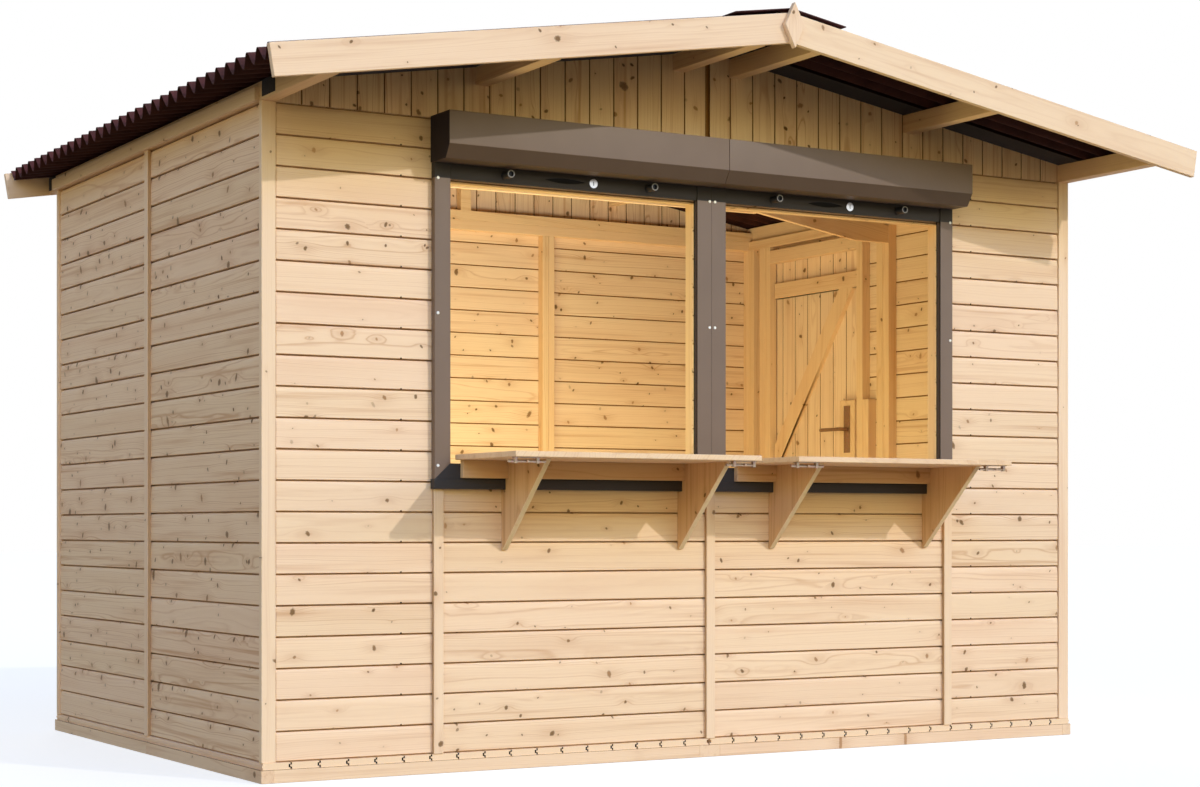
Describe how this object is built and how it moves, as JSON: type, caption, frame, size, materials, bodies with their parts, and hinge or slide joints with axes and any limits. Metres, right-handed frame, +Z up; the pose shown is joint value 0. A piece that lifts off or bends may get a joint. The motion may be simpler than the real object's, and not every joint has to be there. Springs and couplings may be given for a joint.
{
  "type": "wooden market hut",
  "caption": "Wooden market hut with a low gable roof of corrugated sheets, serving hatches with roller shutters and shelves on the front, and a hinged side door.",
  "frame": {"origin": "centre of the floor's outline, on the ground", "axes": "+Z up, the hatches face -Y, the door is in the +X wall"},
  "size_m": [3.3106, 2.539, 2.2777],
  "materials": {
    "wall_wood": "planed softwood boards with knots",
    "trim_wood": "planed softwood",
    "frame_wood": "sawn softwood",
    "floor_wood": "softwood floor boards",
    "shelf_wood": "planed softwood",
    "roof_sheet": "dark red-brown corrugated sheet",
    "seal_strip": "dark grey felt",
    "shutter_metal": "satin grey paint",
    "curtain_metal": "satin dark grey paint",
    "zinc": "bright zinc"
  },
  "bodies": {
    "hut": {"floor_bearers_long": "floor_wood", "floor_bearers_cross": "floor_wood", "floor_deck": "floor_wood", "front_studs": "frame_wood", "side_studs": "frame_wood", "back_studs": "frame_wood", "front_rails": "frame_wood", "side_rails": "frame_wood", "back_rails": "frame_wood", "front_wall_piers": "wall_wood", "front_wall_below": "wall_wood", "front_wall_over": "wall_wood", "left_wall": "wall_wood", "back_wall": "wall_wood", "right_wall_front": "wall_wood", "right_wall_over_door": "wall_wood", "right_wall_back": "wall_wood", "front_gable": "wall_wood", "back_gable": "wall_wood", "gable_frames": "frame_wood", "corner_boards": "trim_wood", "wall_battens": "trim_wood", "eave_boards": "trim_wood", "purlins": "frame_wood", "roof_truss": "frame_wood", "purlin_blocks": "frame_wood", "roof_sheets": "roof_sheet", "ridge_cap": "roof_sheet", "bargeboards": "trim_wood", "gable_plates": "trim_wood", "roof_seals": "seal_strip", "shutter_boxes": "shutter_metal", "shutter_guides": "shutter_metal", "shutter_curtains": "curtain_metal", "shutter_sills": "curtain_metal", "shelf_left": "shelf_wood", "shelf_right": "shelf_wood", "shelf_brackets": "shelf_wood", "shelf_cleats": "shelf_wood", "shelf_bolts": "zinc", "hinge_plates": "zinc"},
    "door": {"door_leaf": "wall_wood", "door_brace": "frame_wood", "door_lock": "frame_wood", "door_handle": "zinc", "door_hinges": "zinc"}
  },
  "joints": [
    {"name": "door_hinge", "type": "hinge", "parent": "hut", "child": "door", "pos_m": [1.494, 0.78675, 0.9785], "axis": [0, 0, 1], "range_deg": [0, 110]}
  ]
}
